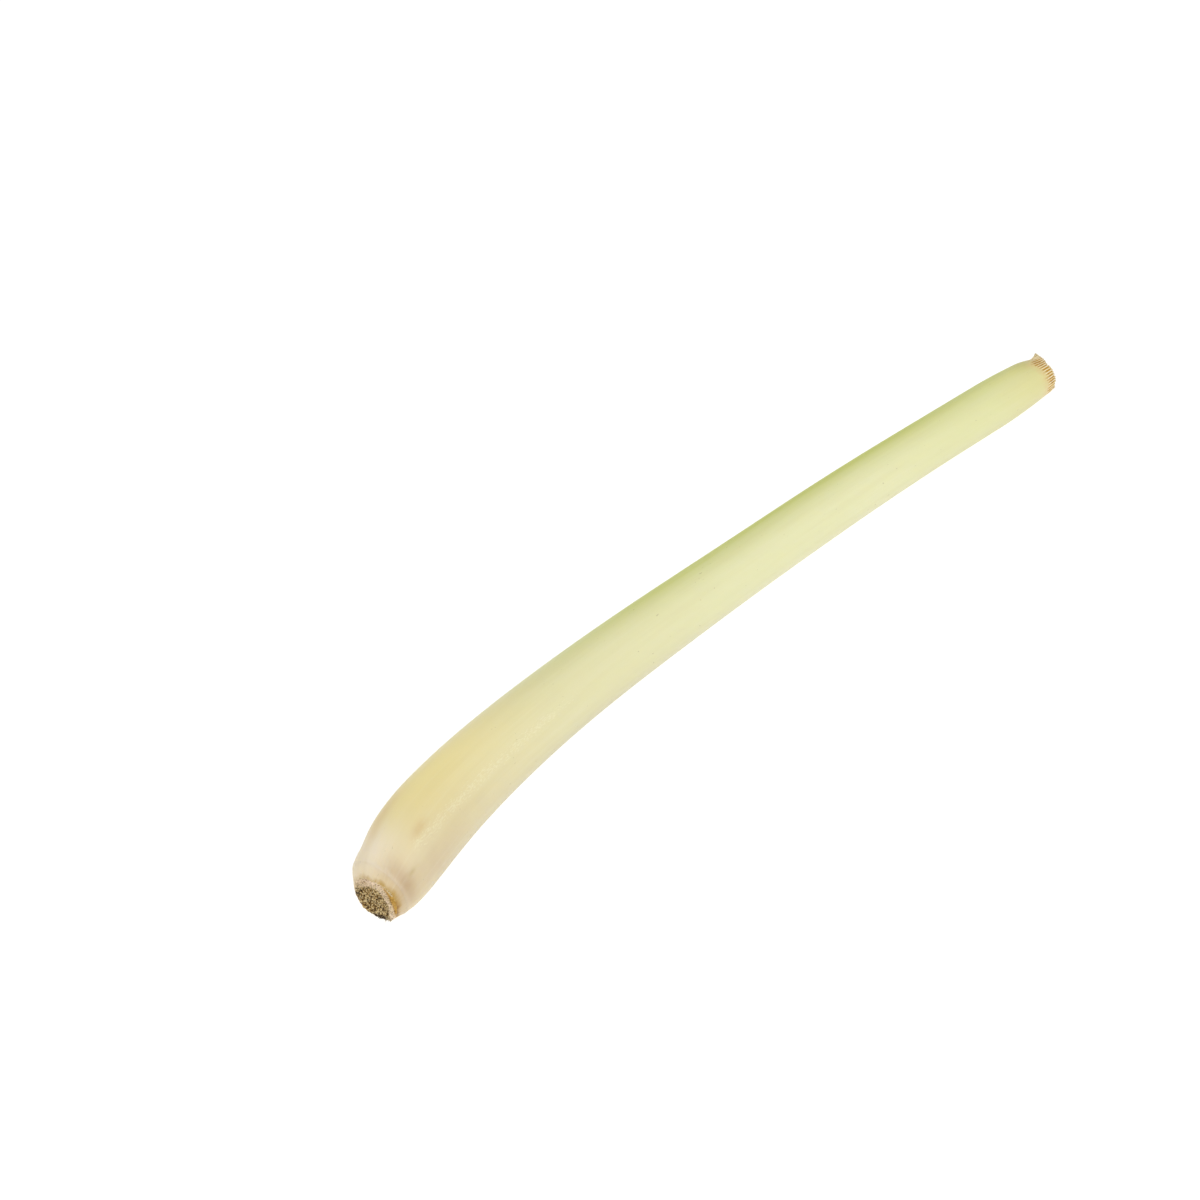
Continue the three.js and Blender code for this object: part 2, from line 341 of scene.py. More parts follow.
def dried(tint, t, angle, place):
    """The top few millimetres, dried to tan straw between cream ribs, with a pale frayed edge."""
    left = LENGTH - t
    patchy = field(place, 1.1, 6)
    smudge = hump(turned(angle, 90), 13)
    ragged = left + 0.8 * patchy + 0.35 * field(place, 0.4, 7) - 1.6 * smudge
    halo = 1 - smooth(ragged, 2.2, 5.6)
    dry = 1 - smooth(ragged, 1.9, 3.2)
    olive = hump(turned(angle, 62), 34) * (1 - smooth(left, 4, 12))
    tint = washed(tint, 0.6 * olive, "c9ba72")
    tint = washed(tint, 0.7 * halo, "e6ca8e")
    straw = coated(tint.shape[:-1], "c39430")
    straw = washed(straw, 0.6 * smooth(patchy + 0.5 * smudge, -0.1, 0.6), "a87818")
    straw = washed(straw, 0.7 * hump(turned(angle, 45), 24), "bca672")
    crest = smooth(rib_wave(angle) + 0.3 * field(place, 0.7, 8), 0.1, 0.5)
    straw = washed(straw, crest * (1 - 0.4 * smudge), "fdf0c2")
    straw = washed(straw, 0.5 * (1 - smooth(left + 0.3 * patchy, 0.1, 0.6)), "ded2b2")
    return mix(tint, straw, dry[..., None]), dry


def crest_glints(t, angle):
    """Where the painted glints show as fine pale dashes: along one line up the bulb, fading out
    beyond it.
    """
    line = 134 - 12 * np.exp(-np.clip(t - 10, 0, None) / 12)
    return hump(turned(angle, line), 19) * smooth(t, 5, 11) * (1 - 0.8 * smooth(t, 50, 95))


# ---------------------------------------------------------------- meshes


def ring_faces(rows, size):
    """Quads between closed rings of points."""
    row = np.arange(rows - 1)[:, None] * size
    here = np.arange(size)[None, :]
    a, b = row + here, row + (here + 1) % size
    return np.stack([a, b, b + size, a + size], -1).reshape(-1, 4).tolist()


def make_piece(name, points, faces, place, tint, dry, node, crease=40):
    """A smooth-shaded mesh riding on the stalk. Its materials read four marks of every point:
    its place for patterns, its tint, how dry it is, and where the crest's painted glints show."""
    mesh = bpy.data.meshes.new(name)
    mesh.from_pydata(points.reshape(-1, 3).tolist(), [], faces)
    mesh.validate()
    place = place.reshape(-1, 3)
    glints = crest_glints(place[:, 0], np.degrees(np.arctan2(place[:, 2], place[:, 1])) % 360)
    for mark, kind, key, values in (
        ("place", "FLOAT_VECTOR", "vector", place),
        ("tint", "FLOAT_COLOR", "color", tint),
        ("dry", "FLOAT", "value", dry),
        ("glint", "FLOAT", "value", glints),
    ):
        attribute = mesh.attributes.new(mark, kind, "POINT")
        attribute.data.foreach_set(key, np.ascontiguousarray(values, np.float32).ravel())
    mesh.shade_smooth()
    mesh.set_sharp_from_angle(angle=math.radians(crease))
    piece = bpy.data.objects.new(name, mesh)
    bpy.context.scene.collection.objects.link(piece)
    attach(piece, "root")
    if node:
        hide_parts(node)
    return piece


def stations(low, high, count, crowd):
    """Distances from low to high, closer together towards both ends."""
    even = np.linspace(0, 1, count)
    eased = (1 - np.cos(np.pi * even)) / 2
    return mix(low, high, mix(even, eased, crowd))


def strip_angles(count, edge):
    """Angles across a sheath, from one margin round to the other, with those of its steps."""
    corners = [OVERLAP, OVERLAP + edge, OVERLAP + 2 * edge, 360 - 2 * edge, 360 - edge, 360]
    return np.unique(np.concatenate([np.linspace(0, 360 + OVERLAP, count), corners]))


def strip_depths(angle, wall, edge):
    """Depths of the outer and inner face of a rolled sheath below its roundness."""
    flap = (wall - SLIT) / 2
    under_lap = wall - mix(MARGIN, flap, smooth(angle, 0, MARGIN_TAPER))
    rise = np.clip((angle - OVERLAP - edge) / edge, 0, 1)
    over_lap = mix(MARGIN, flap, smooth(360 + OVERLAP - angle, 0, MARGIN_TAPER))
    thin = np.clip((angle - 360 + 2 * edge) / edge, 0, 1)
    return under_lap * (1 - rise), mix(wall, over_lap, thin)


def raggedness(angle, layer):
    """How uneven the top cut is, differently in every sheath."""
    turn = np.radians(angle) + 1.7 * layer
    return RAGGED * (np.sin(2 * turn) + 0.6 * np.sin(5 * turn + 1) + 0.35 * np.sin(9 * turn))


def corner_at(angle):
    """From 0 to 1: the raised corner of the top cut, steep on one side."""
    away = turned(angle, CORNER_ANGLE)
    reach = np.where(away < 0, CORNER_STEEP_SIDE, CORNER_SLOW_SIDE)
    return np.clip(1 - np.abs(away) / reach, 0, None) ** 1.5


def rib_wander(turn):
    """Shifts the ribs round the stalk, so that they aren't evenly spaced."""
    return 0.9 * np.sin(3 * turn) + 0.6 * np.sin(7 * turn)


def rib_wave(angle):
    """Dried ribs: crests of uneven width between the shrunken strips of tissue."""
    turn = np.radians(angle)
    return np.cos(VEINS_AT_TOP * turn + rib_wander(turn))


def crest_angles():
    """Where rib_wave() has its crests, in degrees."""
    crests = np.arange(VEINS_AT_TOP) * 2 * np.pi
    turn = crests / VEINS_AT_TOP
    for _ in range(8):  # each round comes closer
        turn = (crests - rib_wander(turn)) / VEINS_AT_TOP
    return np.degrees(turn)


def sheath_surface(layer, t, depth, angle, outer):
    """Where a point of a sheath's face is: its distance along, and its radius."""
    near_top = smooth(t, LENGTH - FRINGE, LENGTH)
    corner = corner_at(angle) * near_top if layer == 0 else 0
    radius = radius_inside(layer, t) - depth + unevenness(t, angle) + flutes(t, angle)
    radius = radius + CORNER_CURL * corner**1.3 * np.clip(1 - (LENGTH - t) / CURL_LENGTH, 0, 1) ** 2
    if outer:
        dry = smooth(t, LENGTH - DRY_BAND, LENGTH - 0.5 * DRY_BAND)
        radius = radius + dry * (RIB_HEIGHT * rib_wave(angle) - RIB_SINK)
    if outer and layer == 0:
        radius = radius + SKIN_STEP + node_ridge(t)
    along = t + raggedness(angle, layer) * near_top + CORNER_RISE * corner
    teeth = np.sin(np.radians(31 * angle)) * np.sin(np.radians(4 * angle))
    frayed = 0.09 * rib_wave(angle) + 0.08 * teeth
    return along + frayed * smooth(t, LENGTH - 1.2, LENGTH), radius


def sheath_piece(layer, rows, columns, material):
    """One rolled leaf sheath: an outer and an inner face, closed at the margins and at both ends.
    Its rows are given for the foot, the length and the dried top."""
    sheath = SHEATHS[layer]
    top = LENGTH - sheath["short"]
    base = sheath["node"] - (NODE_TUCK if layer == 0 else 0)
    edge = math.degrees(FIT / float(radius_inside(layer, top)))
    across = strip_angles(columns, edge)
    # Closer rows at the node and in the dried top.
    low, middle, high = rows
    along = [np.linspace(base, base + 3, low), stations(base + 3, top - 6, middle, 0.4)[1:]]
    t = np.concatenate([*along, np.linspace(top - 6, top, high)[1:]])[:, None]
    angle = (sheath["seam"] - OVERLAP + across)[None, :]
    depths = strip_depths(across[None, :], wall_at(sheath, t), edge)
    outer_t, outer_r = sheath_surface(layer, t, depths[0], angle, True)
    inner_t, inner_r = sheath_surface(layer, t, depths[1], angle, False)
    count, size = outer_t.shape
    full_t = t + 0 * outer_t
    full_angle = angle + 0 * outer_t

    place = pattern_place(full_t, outer_r, full_angle)
    outer_tint = skin_tint(full_t, full_angle)
    if layer > 0:
        outer_tint = washed(outer_tint, 0.55, "f0ecd0")
    outer_tint, outer_dry = dried(outer_tint, full_t, full_angle, place)
    inner_tint = washed(outer_tint, 0.5, "efeacc")

    points = [on_stalk(outer_t, outer_r, full_angle), on_stalk(inner_t, inner_r, full_angle)]
    places = [place, pattern_place(full_t, inner_r, full_angle)]
    tints = [outer_tint, inner_tint]
    dryness = [outer_dry, outer_dry]
    outer_ids = np.arange(count * size).reshape(count, size)
    inner_ids = outer_ids + count * size
    loop = np.concatenate([outer_ids, inner_ids[:, ::-1]], 1)
    after = np.roll(loop, -1, 1)
    faces = np.stack([loop[:-1], after[:-1], after[1:], loop[1:]], -1).reshape(-1, 4).tolist()

    used = 2 * count * size
    for row, outward in ((0, -1), (count - 1, 1)):
        share = (np.arange(1, CAP_STEPS) / CAP_STEPS)[:, None]
        cap_r = mix(outer_r[row], inner_r[row], share)
        cap_angle = angle.repeat(CAP_STEPS - 1, 0)
        rough = 0.07 * np.sin(cap_angle * 1.9 + 5 * share) * np.sin(cap_angle * 0.53 + 9 * share)
        bulge = 0.1 * np.sin(np.pi * share) + rough
        cap_t = mix(outer_t[row], inner_t[row], share) + outward * bulge
        cap_place = straight(cap_t, cap_r, cap_angle)
        brown = coated(cap_t.shape, "a17c48")
        points.append(on_stalk(cap_t, cap_r, cap_angle))
        places.append(cap_place)
        tints.append(washed(brown, smooth(field(cap_place, 0.5, 9), -0.4, 0.5), "d9c397"))
        dryness.append(np.ones_like(cap_t))
        middle_ids = used + np.arange(cap_t.size).reshape(CAP_STEPS - 1, size)
        used += cap_t.size
        ids = np.concatenate([outer_ids[row][None], middle_ids, inner_ids[row][None]], 0)
        a, b, c, d = ids[:-1, :-1], ids[:-1, 1:], ids[1:, 1:], ids[1:, :-1]
        quads = np.stack([a, b, c, d] if outward > 0 else [a, d, c, b], -1).reshape(-1, 4)
        faces += quads.tolist()
    piece = make_piece(
        sheath["name"] + "_leaf",
        np.concatenate([p.reshape(-1, 3) for p in points]),
        faces,
        np.concatenate([p.reshape(-1, 3) for p in places]),
        np.concatenate([c.reshape(-1, 4) for c in tints]),
        np.concatenate([d.ravel() for d in dryness]),
        sheath["name"],
    )
    piece.data.materials.append(material)
    return piece


def rod_piece(name, t, radius, angle, place, tint, dry, ends, node, materials):
    """A closed rod through rows of points, with a single point at either of its ends."""
    rows, size = t.shape
    faces = ring_faces(rows, size)
    first, last = rows * size, rows * size + 1
    for j in range(size):
        after = (j + 1) % size
        faces.append([first, after, j])
        faces.append([last, (rows - 1) * size + j, (rows - 1) * size + after])
    tips = [on_stalk(np.float64(end), 0.0, 0.0)[None] for end in ends]
    tip_places = [straight(np.float64(end), 0.0, 0.0)[None] for end in ends]
    piece = make_piece(
        name,
        np.concatenate([on_stalk(t, radius, angle).reshape(-1, 3), *tips]),
        faces,
        np.concatenate([place.reshape(-1, 3), *tip_places]),
        np.concatenate([tint.reshape(-1, 4), tint[0, :1], tint[-1, :1]]),
        np.concatenate([dry.ravel(), dry[0, :1], dry[-1, :1]]),
        node,
    )
    for material in materials:
        piece.data.materials.append(material)
    return piece


# ---- The root cut


def cut_margins(angle):
    """Round the root cut runs a pale torn collar, and outside it on the -Y side the skin has peeled
    back to ochre: where each of them starts, as shares of the radius. The far side has neither."""
    from_far_side = np.abs(turned(angle, 300))
    collar = (1.8 + 0.9 * hump(turned(angle, 135), 35)) * smooth(from_far_side, 35, 105)
    peeled = 1.15 * hump(turned(angle, 150), 40)
    return 1 - collar / BUTT_RADIUS, 1 - peeled / BUTT_RADIUS


# Spongy tissue, from its pale high parts down into its dark pores: their own brown, deepened by
# painted shade.
SPONGE_STOPS = [(-0.4, -0.12, "c29a54"), (-0.12, 0.08, "805a18"), (0.1, 0.3, "241300")]


def butt_face(share, angle):
    """The root cut: how far its points lie inside (+) or stand out of (-) the plane of the cut,
    and their tints."""
    flat = straight(0 * share, BUTT_RADIUS * share, angle)
    spongy = field(flat, 0.28, 1)
    lumps = field(flat, 1.9, 2)
    fine = field(flat, 0.18, 3)
    collar_from, peeled_from = cut_margins(angle)
    collar = smooth(share + 0.08 * lumps + 0.1 * spongy, collar_from - 0.1, collar_from + 0.08)
    peeled = smooth(share + 0.05 * lumps + 0.04 * spongy, peeled_from - 0.03, peeled_from + 0.04)
    peeled = peeled * smooth(peeled_from, 0.98, 0.9)
    rim_fade = 1 - smooth(share, 0.95, 1.0)
    dish = 0.35 * (1 - share**2) * (1 - collar)
    relief = dish + (0.3 * spongy + 0.12 * lumps + 0.2 * fine) * (1 - 0.5 * collar) * rim_fade
    relief = relief + (0.3 * peeled - 0.2 * collar) * rim_fade

    # The deeper a point lies, the darker its tint: the pores' own brown, with painted shade in the
    # recesses.
    depth = spongy + 0.6 * fine
    tint = coated(share.shape, "f2dca6")
    for low, high, colour in SPONGE_STOPS:
        tint = washed(tint, smooth(depth, low, high), colour)
    fibrous = coated(share.shape, "f6dfc2")
    fibrous = washed(fibrous, 0.35 * hump(turned(angle, 50), 40), "dcbc98")
    fibrous = washed(fibrous, 0.85 * smooth(fine + 0.8 * spongy, 0.22, 0.5), "8c6236")
    tint = mix(tint, fibrous, (0.95 * collar)[..., None])
    tint = washed(tint, 0.95 * peeled, "cfa345")
    tint = washed(tint, 0.4 * peeled * smooth(spongy + fine, 0.1, 0.6), "95681c")
    burnt = hump(turned(angle, BURNT_ANGLE), 19) + 0.7 * hump(turned(angle, 347), 6)
    burnt = np.minimum(1, 1.5 * burnt) * smooth(share + 0.1 * spongy, 0.7, 0.84)
    return relief, washed(tint, 0.95 * burnt, "2e1200")


def band_tint(t, angle, place):
    """First internode: cream skin, tan on the -Y side, ochre in an uneven line at the cut."""
    lumps = field(place, 1.4, 4)
    fine = field(place, 0.4, 5)
    from_cut = t - 0.1 + 0.35 * lumps + 0.15 * fine
    near_side = hump(turned(angle, 166), 48)
    reach = 0.8 + 0.8 * hump(turned(angle, 150), 34)
    close = 1 - smooth(from_cut, 0, reach)
    tint = skin_tint(t, angle)
    tint = washed(tint, 0.6 * near_side * (1 - smooth(t, 0.6, 3.0)), "c4a67a")
    tint = washed(tint, 0.3 * hump(turned(angle, 118), 36) * (1 - smooth(t, 1.8, 3.2)), "d2b47c")
    tint = washed(tint, close * (0.3 + 0.65 * hump(turned(angle, 135), 60)), "bb943c")
    return washed(tint, 0.7 * close**3 * hump(turned(angle, 180), 26), "85501f")


def rim_radius(angle):
    return float(BUTT_RADIUS + unevenness(0.0, angle))


def stem_piece(materials):
    """The stem: the face of the root cut, the first internode's band, and the core inside."""
    angle = (np.arange(CUT_SIDES) * 360 / CUT_SIDES)[None, :]
    shares = np.linspace(0.02, 1, CUT_ROWS)[:, None]
    share = shares + 0 * angle
    face_angle = angle + 0 * shares
    face_t, face_tint = butt_face(share, face_angle)
    wobble = 0.13 * np.sin(np.radians(3 * angle + 40)) + 0.08 * np.sin(np.radians(8 * angle))
    wobble = wobble + 0.09 * np.sin(np.radians(29 * angle)) * np.sin(np.radians(5 * angle))
    wobble = wobble + 0.2 * hump(turned(angle, BURNT_ANGLE), 15)
    face_t = face_t + wobble * smooth(share, 0.7, 1)
    rim = BUTT_RADIUS + unevenness(0.0, face_angle)
    face_r = rim * share * (1 + 0.01 * np.sin(np.radians(7 * angle)))
    face_place = straight(face_t, face_r, face_angle)

    band_t = np.linspace(0.1, NODE + 0.6, BAND_ROWS)[:, None] + 0 * angle
    band_angle = angle + 0 * band_t
    band_r = stalk_radius(band_t) + unevenness(band_t, angle) + flutes(band_t, angle)
    # Rounded at the cut, and tucked in under the outer sheath at the node.
    band_r = band_r + node_ridge(band_t) - 0.1 * (1 - smooth(band_t, 0, 0.5))
    band_r = band_r - 0.4 * smooth(band_t, NODE - 0.2, NODE + 0.5)
    band_place = pattern_place(band_t, band_r, band_angle)
    tint = band_tint(band_t, band_angle, band_place)
    band_t = band_t + wobble * (1 - smooth(band_t, 0.1, 1.6))

    # The core steps in where each sheath grows from it.
    second, third = [sheath["node"] for sheath in SHEATHS[1:]]
    steps = [NODE + 0.61, second, second + 0.01, third, third + 0.01, 22, 30, 38, STEM_TOP]
    core = np.array(steps)[:, None] + 0 * angle
    layers = [1, 1, 2, 2, 3, 3, 3, 3, 3]
    core_r = np.stack([radius_inside(n, d) for n, d in zip(layers, core)])
    core_angle = angle + 0 * core
    core_tint = coated(core.shape, "e6d8b4")

    piece = rod_piece(
        "basal_stem_cut",
        np.concatenate([face_t, band_t, core]),
        np.concatenate([face_r, band_r, core_r]),
        np.concatenate([face_angle, band_angle, core_angle]),
        np.concatenate([face_place, band_place, straight(core, core_r, core_angle)]),
        np.concatenate([face_tint, tint, core_tint]),
        np.concatenate([np.ones_like(face_t), np.zeros_like(band_t), np.zeros_like(core)]),
        (float(face_t[0].mean()), STEM_TOP),
        "basal_stem",
        materials,
    )
    # The cut's own faces, and those of its middle point, take the first material.
    slots = np.ones(len(piece.data.polygons), np.int32)
    slots[: (CUT_ROWS - 1) * CUT_SIDES] = 0
    slots[-2 * CUT_SIDES :: 2] = 0
    piece.data.polygons.foreach_set("material_index", slots)
    return piece


# ---- The rolled heart


def heart_piece(material):
    """The youngest leaves, rolled tight: a rod whose end shows the groove between its turns."""
    angle = (np.arange(HEART_SIDES) * 360 / HEART_SIDES)[None, :]
    top = LENGTH - HEART_SHORT
    unrolled = ((angle - HEART_SEAM) % 360) / 360
    side_t = stations(STEM_TOP + FIT, top, 50, 0.7)[:, None] + 0 * angle
    side_r = radius_inside(3, side_t) - HEART_LAP * unrolled + unevenness(side_t, angle)
    share = np.linspace(0.97, 0.04, 34)[:, None] + 0 * angle
    phase = (share * HEART_TURNS + unrolled) % 1
    groove = hump(np.minimum(phase, 1 - phase), 0.1)
    face_t = top - HEART_DISH * (1 - share) * 0.8 - 0.4 * groove
    face_t = face_t + 0.12 * np.sin(np.radians(5 * angle))
    face_r = side_r[-1:] * share
    t = np.concatenate([side_t, face_t])
    radius = np.concatenate([side_r, face_r])
    full_angle = angle + 0 * t
    place = straight(t, radius, full_angle)
    tint = coated(t.shape, "e4df9c")
    brown = np.concatenate([smooth(side_t, top - 3, top), mix(1.0, 0.0, groove)])
    tint = washed(tint, brown, "cdb47c")
    tint = washed(tint, np.concatenate([0 * side_t, 0.8 * groove]), "6f5630")
    tint = washed(tint, 0.3 * smooth(field(place, 0.5, 12), 0, 0.6), "efe7bc")
    return rod_piece(
        "heart_leaves",
        t,
        radius,
        full_angle,
        place,
        tint,
        brown,
        (STEM_TOP + FIT, float(face_t[-1].mean())),
        "heart",
        [material],
    )


# ---- Dried fibres


def strand(path, radii, sides=5):
    """Points and faces of a thin tapering strand along a path of (t, radius, angle) places."""
    path = np.array(path)
    centres = straight(path[:, 0], path[:, 1], path[:, 2])
    ahead = np.gradient(centres, axis=0)
    ahead /= np.linalg.norm(ahead, axis=1)[:, None]
    outward = centres * [0, 1, 1] + [0, 1e-6, 0]
    across = np.cross(ahead, outward)
    across /= np.linalg.norm(across, axis=1)[:, None]
    up = np.cross(across, ahead)
    turn = np.arange(sides) * 2 * np.pi / sides
    ring = across[:, None] * np.cos(turn)[:, None] + up[:, None] * np.sin(turn)[:, None]
    points = (centres[:, None] + ring * np.array(radii)[:, None, None]).reshape(-1, 3)
    rows = len(path)
    faces = ring_faces(rows, sides)
    faces.append(list(range(sides))[::-1])
    faces.append([(rows - 1) * sides + j for j in range(sides)])
    return points, faces


def strands_piece(name, strands, tones, dark, pale, material):
    """Many strands fused into one mesh, each in a tone of its own from dark (0) to pale (1)."""
    faces, shares, count = [], [], 0
    for (points, strand_faces), tone in zip(strands, tones):
        faces += [[count + v for v in face] for face in strand_faces]
        shares.append(np.full(len(points), tone))
        count += len(points)
    place = np.concatenate([points for points, _ in strands])
    radius = np.hypot(place[:, 1], place[:, 2])
    angle = np.degrees(np.arctan2(place[:, 2], place[:, 1]))
    tint = washed(coated((count,), dark), np.concatenate(shares), pale)
    points = on_stalk(place[:, 0], radius, angle)
    piece = make_piece(name, points, faces, place, tint, np.ones(count), None, 80)
    piece.data.materials.append(material)
    return piece


def top_fibres(material):
    """Dried veins along the crests of the brown band, some a little past its ragged edge."""
    draw = random.Random(11)
    strands, tones = [], []
    for angle in crest_angles():
        angle = angle + draw.uniform(-0.6, 0.6)
        length = draw.uniform(1.4, 3.0)
        lift = draw.uniform(0.0, 0.05)
        past = draw.uniform(-0.1, 0.25)
        path = []
        for share in np.linspace(0, 1, 7):
            t = LENGTH - length * (1 - share)
            along, radius = sheath_surface(0, np.float64(t), 0.0, np.float64(angle), True)
            sunk = -0.07 + 0.08 * math.sin(math.pi * min(1, 1.3 * share)) + lift * share**3
            path.append((float(along) + past * share**2, float(radius) + sunk, angle))
        thick = draw.uniform(0.09, 0.14)
        radii = [0.03, thick * 0.7, thick, thick, thick, thick * 0.85, thick * 0.4]
        strands.append(strand(path, radii))
        tones.append(draw.random())
    return strands_piece("top_fibres", strands, tones, "ecd6a0", "fff8dc", material)


def butt_stubs(material):
    """Ends of the stem's vascular bundles, torn off at the root cut, a tuft left at its foot, and
    frayed skin round its near rim. The stubs are about as dark as the tissue they stand in."""
    draw = random.Random(4)
    strands, tones = [], []
    for k in range(STUBS + TUFT):
        in_tuft = k >= STUBS
        share = draw.uniform(0.86, 0.97) if in_tuft else math.sqrt(draw.random()) * 0.95
        angle = draw.gauss(TUFT_ANGLE, 5) if in_tuft else draw.uniform(0, 360)
        share = min(share, float(cut_margins(angle)[1]) - 0.04)
        if in_tuft:
            height = draw.uniform(0.3, 0.75)
        else:
            height = draw.uniform(0.06, 0.3) * (1.15 - 0.5 * share)
        lean = draw.uniform(-0.2, 0.2)
        foot = rim_radius(angle) * share
        sink, tint = butt_face(np.array([[share]]), np.array([[angle]]))
        sink = float(sink[0, 0])
        thick = draw.uniform(0.04, 0.1)
        path = [
            (sink + 0.15, foot, angle),
            (sink - 0.4 * height, foot + lean * 0.3, angle + 2 * lean),
            (sink - height, foot + lean * 0.8, angle + 9 * lean),
        ]
        strands.append(strand(path, [thick, thick * 0.95, thick * 0.5]))
        lit = 0.5 if in_tuft else 1.3 * float(tint[0, 0, :3].mean())
        tones.append(min(1, max(0, lit + draw.uniform(-0.4, 0.4))))
    for _ in range(HAIRS):
        angle = draw.uniform(45, 130)
        rim = rim_radius(angle)
        lean = draw.uniform(-4, 4)
        reach = draw.uniform(0.1, 0.6)
        path = [
            (0.2, rim - 0.3, angle),
            (-0.08, rim + 0.02, angle + lean),
            (reach, rim + 0.08, angle + 2 * lean),
        ]
        thick = draw.uniform(0.04, 0.07)
        strands.append(strand(path, [thick, thick, thick * 0.4]))
        tones.append(draw.uniform(0.8, 1.0))
    return strands_piece("butt_fibres", strands, tones, "523a0c", "eedcb0", material)


# ---------------------------------------------------------------- materials


def add(tree, kind, inputs=None, **settings):
    """Adds a node, sets it up, and fills its inputs with values or with other nodes' outputs."""
    made = tree.nodes.new(kind)
    for name, value in settings.items():
        setattr(made, name, value)
    for key, value in (inputs or {}).items():
        if isinstance(value, bpy.types.NodeSocket):
            tree.links.new(value, made.inputs[key])
        else:
            made.inputs[key].default_value = value
    return made


FACTOR, FIRST, SECOND, MIXED = 0, 6, 7, 2  # sockets of a colour Mix node


def new_material(name):
    material = bpy.data.materials.new(name)
    material.use_nodes = True
    material.node_tree.nodes.clear()
    return material, material.node_tree


def marks(tree):
    """The place, tint, dryness and painted crest glints that a mesh gives each of its points."""
    place = add(tree, "ShaderNodeAttribute", attribute_name="place").outputs["Vector"]
    tint = add(tree, "ShaderNodeAttribute", attribute_name="tint").outputs["Color"]
    dry = add(tree, "ShaderNodeAttribute", attribute_name="dry").outputs["Fac"]
    glint = add(tree, "ShaderNodeAttribute", attribute_name="glint").outputs["Fac"]
    return place, tint, dry, glint


def grain(tree, place, size, stretch, detail=2.0):
    """Noise drawn out along the stalk: size is its width in mm, stretch its length over width."""
    scale = (1 / (size * stretch), 1 / size, 1 / size)
    scaled = add(tree, "ShaderNodeVectorMath", {0: place, 1: scale}, operation="MULTIPLY")
    made = add(
        tree, "ShaderNodeTexNoise", {"Vector": scaled.outputs[0], "Scale": 1.0, "Detail": detail}
    )
    return made.outputs["Fac"]


def glaze(tree, base, pattern, low, high, most, colour):
    """Lays a colour over a base where a pattern rises from low to high, most at the top of it."""
    share = add(
        tree,
        "ShaderNodeMapRange",
        {"Value": pattern, "From Min": low, "From Max": high, "To Min": 0.0, "To Max": most},
        interpolation_type="SMOOTHSTEP",
    )
    mixed = add(
        tree,
        "ShaderNodeMix",
        {FACTOR: share.outputs[0], FIRST: base, SECOND: linear(colour)},
        data_type="RGBA",
    )
    return mixed.outputs[MIXED]


DRY_ROUGHNESS = 0.8
SKIN_BUMP = 0.05  # mm


def waxy_skin(name, vein_width, roughness, glow):
    """Fresh leaf or stem skin: a waxy cuticle over fine parallel veins, satin and slightly
    translucent, with painted glints, fine pale dashes, along its crest. Where it has dried it is
    matt and lets no light in. Real veins are about 0.2 mm apart, and are drawn about twice as wide
    so that they show."""
    material, tree = new_material(name)
    place, tint, dry, glint = marks(tree)
    veins = grain(tree, place, vein_width, 60, 1.0)
    streaks = grain(tree, place, 1.6, 22)
    cells = grain(tree, place, 0.3, 4)
    specks = grain(tree, place, 0.4, 1.7, 0.0)
    # Painted glints: fine pale dashes that stand in for the highlight along the crest.
    glint_dashes = grain(tree, place, 0.15, 5, 1.0)
    crest = add(tree, "ShaderNodeMath", {0: glint_dashes, 1: glint}, operation="MULTIPLY")
    base = glaze(tree, tint, streaks, 0.46, 0.72, 0.08, "f6f2d6")
    base = glaze(tree, base, streaks, 0.5, 0.28, 0.07, "cfc184")
    base = glaze(tree, base, veins, 0.5, 0.8, 0.07, "f6f3da")
    base = glaze(tree, base, specks, 0.83, 0.9, 0.4, "9c8a58")
    base = glaze(tree, base, crest.outputs[0], 0.49, 0.6, 0.3, "fdf8d8")

    ridges = add(tree, "ShaderNodeMath", {0: veins, 1: 0.8, 2: cells}, operation="MULTIPLY_ADD")
    bump = add(
        tree,
        "ShaderNodeBump",
        {"Strength": 0.3, "Distance": SKIN_BUMP * MM, "Height": ridges.outputs[0]},
    )
    rough = add(
        tree, "ShaderNodeMapRange", {"Value": dry, "To Min": roughness, "To Max": DRY_ROUGHNESS}
    )
    lit_through = add(tree, "ShaderNodeMapRange", {"Value": dry, "To Min": glow, "To Max": 0.0})
    shader = add(
        tree,
        "ShaderNodeBsdfPrincipled",
        {
            "Base Color": base,
            "Roughness": rough.outputs[0],
            "Normal": bump.outputs[0],
            "IOR": 1.43,
            "Subsurface Weight": lit_through.outputs[0],
            "Subsurface Radius": (2.0 * MM, 1.7 * MM, 0.8 * MM),
            "Subsurface Scale": 1.0,
        },
    )
    add(tree, "ShaderNodeOutputMaterial", {0: shader.outputs[0]})
    return material


def dry_tissue(name, grain_width, bump_height):
    """Dead plant tissue, corky or fibrous: matt, rough to the touch, a little uneven in tone.
    Both sizes are in mm."""
    material, tree = new_material(name)
    place, tint, _, _ = marks(tree)
    fine = grain(tree, place, grain_width, 1.5, 3.0)
    base = glaze(tree, tint, fine, 0.5, 0.75, 0.3, "5c4010")
    base = glaze(tree, base, fine, 0.45, 0.25, 0.25, "f3e4bc")
    bump = add(
        tree, "ShaderNodeBump", {"Strength": 0.6, "Distance": bump_height * MM, "Height": fine}
    )
    shader = add(
        tree,
        "ShaderNodeBsdfPrincipled",
        {"Base Color": base, "Roughness": 0.85, "Normal": bump.outputs[0], "IOR": 1.4},
    )
    add(tree, "ShaderNodeOutputMaterial", {0: shader.outputs[0]})
    return material


# ---------------------------------------------------------------- studio

